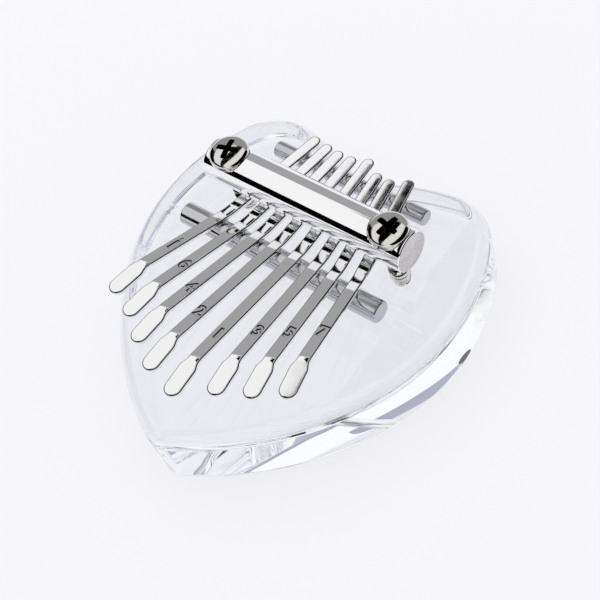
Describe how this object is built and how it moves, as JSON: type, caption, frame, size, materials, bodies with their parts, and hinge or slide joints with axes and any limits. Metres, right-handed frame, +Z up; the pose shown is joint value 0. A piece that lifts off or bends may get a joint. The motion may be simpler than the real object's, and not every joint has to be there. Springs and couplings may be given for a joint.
{
  "type": "mbira",
  "caption": "Heart-shaped clear acrylic thumb piano: fanned steel keys over two bridge rods, held by a round screwed-down pressure bar, with bent playing pads.",
  "frame": {"origin": "middle of the heart's outline, on its flat underside", "axes": "+X along the rods to the player's right, +Y from the tip to the cleft, +Z up"},
  "size_m": [0.0714, 0.0742, 0.0294],
  "materials": {
    "clear_acrylic": "polished clear acrylic",
    "bar_chrome": "polished chrome plate",
    "bridge_steel": "bright drawn steel rod",
    "screw_nickel": "nickel-plated steel",
    "key_steel": "polished spring steel"
  },
  "bodies": {
    "instrument": {"heart_body": "clear_acrylic", "front_bridge": "bridge_steel", "rear_bridge": "bridge_steel", "pressure_bar": "bar_chrome", "screw_left": "screw_nickel", "screw_right": "screw_nickel", "key_1_high_anchor": "key_steel", "key_6_anchor": "key_steel", "key_4_anchor": "key_steel", "key_2_anchor": "key_steel", "key_1_anchor": "key_steel", "key_3_anchor": "key_steel", "key_5_anchor": "key_steel", "key_7_anchor": "key_steel"},
    "key_1_high": {"key_1_high_tongue": "key_steel"},
    "key_6": {"key_6_tongue": "key_steel"},
    "key_4": {"key_4_tongue": "key_steel"},
    "key_2": {"key_2_tongue": "key_steel"},
    "key_1": {"key_1_tongue": "key_steel"},
    "key_3": {"key_3_tongue": "key_steel"},
    "key_5": {"key_5_tongue": "key_steel"},
    "key_7": {"key_7_tongue": "key_steel"}
  },
  "joints": [
    {"name": "key_1_high_flex", "type": "hinge", "parent": "instrument", "child": "key_1_high", "pos_m": [-0.01664, 0.00632, 0.01979], "axis": [0.9785, -0.2062, 0], "range_deg": [-2, 4], "stiffness_Nm_per_rad": 6.3},
    {"name": "key_6_flex", "type": "hinge", "parent": "instrument", "child": "key_6", "pos_m": [-0.01156, 0.00632, 0.01979], "axis": [0.9898, -0.1426, 0], "range_deg": [-2, 4], "stiffness_Nm_per_rad": 5.72},
    {"name": "key_4_flex", "type": "hinge", "parent": "instrument", "child": "key_4", "pos_m": [-0.00707, 0.00632, 0.01979], "axis": [0.9963, -0.0854, 0], "range_deg": [-2, 4], "stiffness_Nm_per_rad": 5.06},
    {"name": "key_2_flex", "type": "hinge", "parent": "instrument", "child": "key_2", "pos_m": [-0.00245, 0.00632, 0.01979], "axis": [0.9997, -0.0244, 0], "range_deg": [-2, 4], "stiffness_Nm_per_rad": 4.55},
    {"name": "key_1_flex", "type": "hinge", "parent": "instrument", "child": "key_1", "pos_m": [0.00259, 0.00632, 0.01979], "axis": [0.9993, 0.0384, 0], "range_deg": [-2, 4], "stiffness_Nm_per_rad": 4.28},
    {"name": "key_3_flex", "type": "hinge", "parent": "instrument", "child": "key_3", "pos_m": [0.00734, 0.00632, 0.01979], "axis": [0.9957, 0.0924, 0], "range_deg": [-2, 4], "stiffness_Nm_per_rad": 4.84},
    {"name": "key_5_flex", "type": "hinge", "parent": "instrument", "child": "key_5", "pos_m": [0.01172, 0.00632, 0.01979], "axis": [0.989, 0.1478, 0], "range_deg": [-2, 4], "stiffness_Nm_per_rad": 5.28},
    {"name": "key_7_flex", "type": "hinge", "parent": "instrument", "child": "key_7", "pos_m": [0.01644, 0.00632, 0.01979], "axis": [0.9823, 0.1874, 0], "range_deg": [-2, 4], "stiffness_Nm_per_rad": 5.96}
  ]
}
